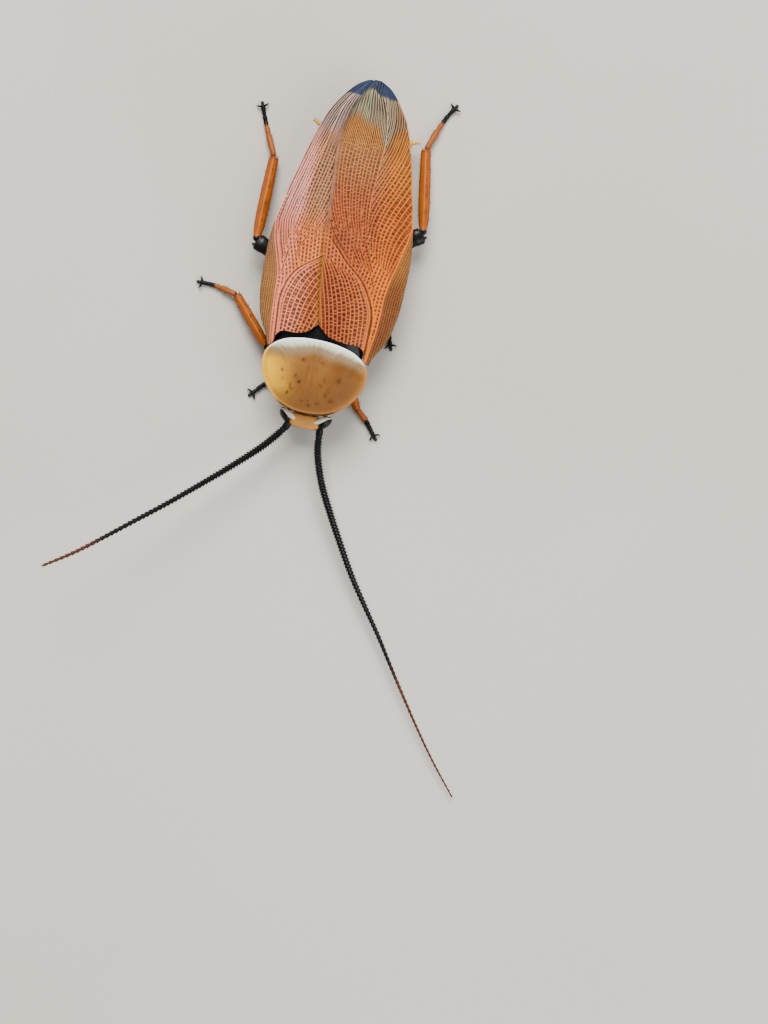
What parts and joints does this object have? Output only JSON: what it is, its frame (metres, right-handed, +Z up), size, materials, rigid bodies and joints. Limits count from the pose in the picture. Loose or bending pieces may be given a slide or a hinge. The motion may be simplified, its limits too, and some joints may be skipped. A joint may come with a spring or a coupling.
{
  "type": "bush cockroach model",
  "caption": "Life-size still model of a winged bush cockroach: straw-coloured pronotum, rust-red veined fore wings, long ringed feelers and spread legs, standing on its feet.",
  "frame": {"origin": "on the floor, under the middle of the model's bounding box", "axes": "+Y from the head towards the wing tips, +X towards the animal's left, +Z up"},
  "size_m": [0.0252, 0.0398, 0.0059],
  "materials": {
    "straw_shell": "glossy straw-coloured cuticle, paler and clearer at the rim",
    "black_shell": "black cuticle, slightly shiny",
    "rust_wing": "rust-red leathery wing with a fine pale net of veins",
    "smoky_wing": "thin smoky folded membrane",
    "amber_leg": "amber, slightly translucent cuticle",
    "belly": "brown cuticle with pale joints",
    "face": "pale straw cuticle",
    "eye": "dark faceted compound eye"
  },
  "bodies": {
    "root": {"abdomen": "belly", "antenna_left_base": "black_shell", "antenna_left_middle": "black_shell", "antenna_left_tip": "black_shell", "antenna_right_base": "black_shell", "antenna_right_middle": "black_shell", "antenna_right_tip": "black_shell", "cercus_left": "amber_leg", "cercus_right": "amber_leg", "coxa_front_left": "belly", "coxa_front_right": "belly", "coxa_hind_left": "belly", "coxa_hind_right": "belly", "coxa_mid_left": "belly", "coxa_mid_right": "belly", "eye_left": "eye", "eye_right": "eye", "femur_front_left": "black_shell", "femur_front_right": "black_shell", "femur_hind_left": "black_shell", "femur_hind_right": "black_shell", "femur_mid_left": "black_shell", "femur_mid_right": "black_shell", "fore_wing_left": "rust_wing", "fore_wing_right": "rust_wing", "head": "face", "hind_wing_left": "smoky_wing", "hind_wing_right": "smoky_wing", "mesonotum": "black_shell", "mesothorax": "belly", "metathorax": "belly", "palp_left": "amber_leg", "palp_right": "amber_leg", "pronotum": "straw_shell", "prothorax": "belly", "tarsus_front_left": "black_shell", "tarsus_front_right": "black_shell", "tarsus_hind_left": "black_shell", "tarsus_hind_right": "black_shell", "tarsus_mid_left": "black_shell", "tarsus_mid_right": "black_shell", "tibia_front_left": "amber_leg", "tibia_front_right": "amber_leg", "tibia_hind_left": "amber_leg", "tibia_hind_right": "amber_leg", "tibia_mid_left": "amber_leg", "tibia_mid_right": "amber_leg"}
  },
  "joints": []
}
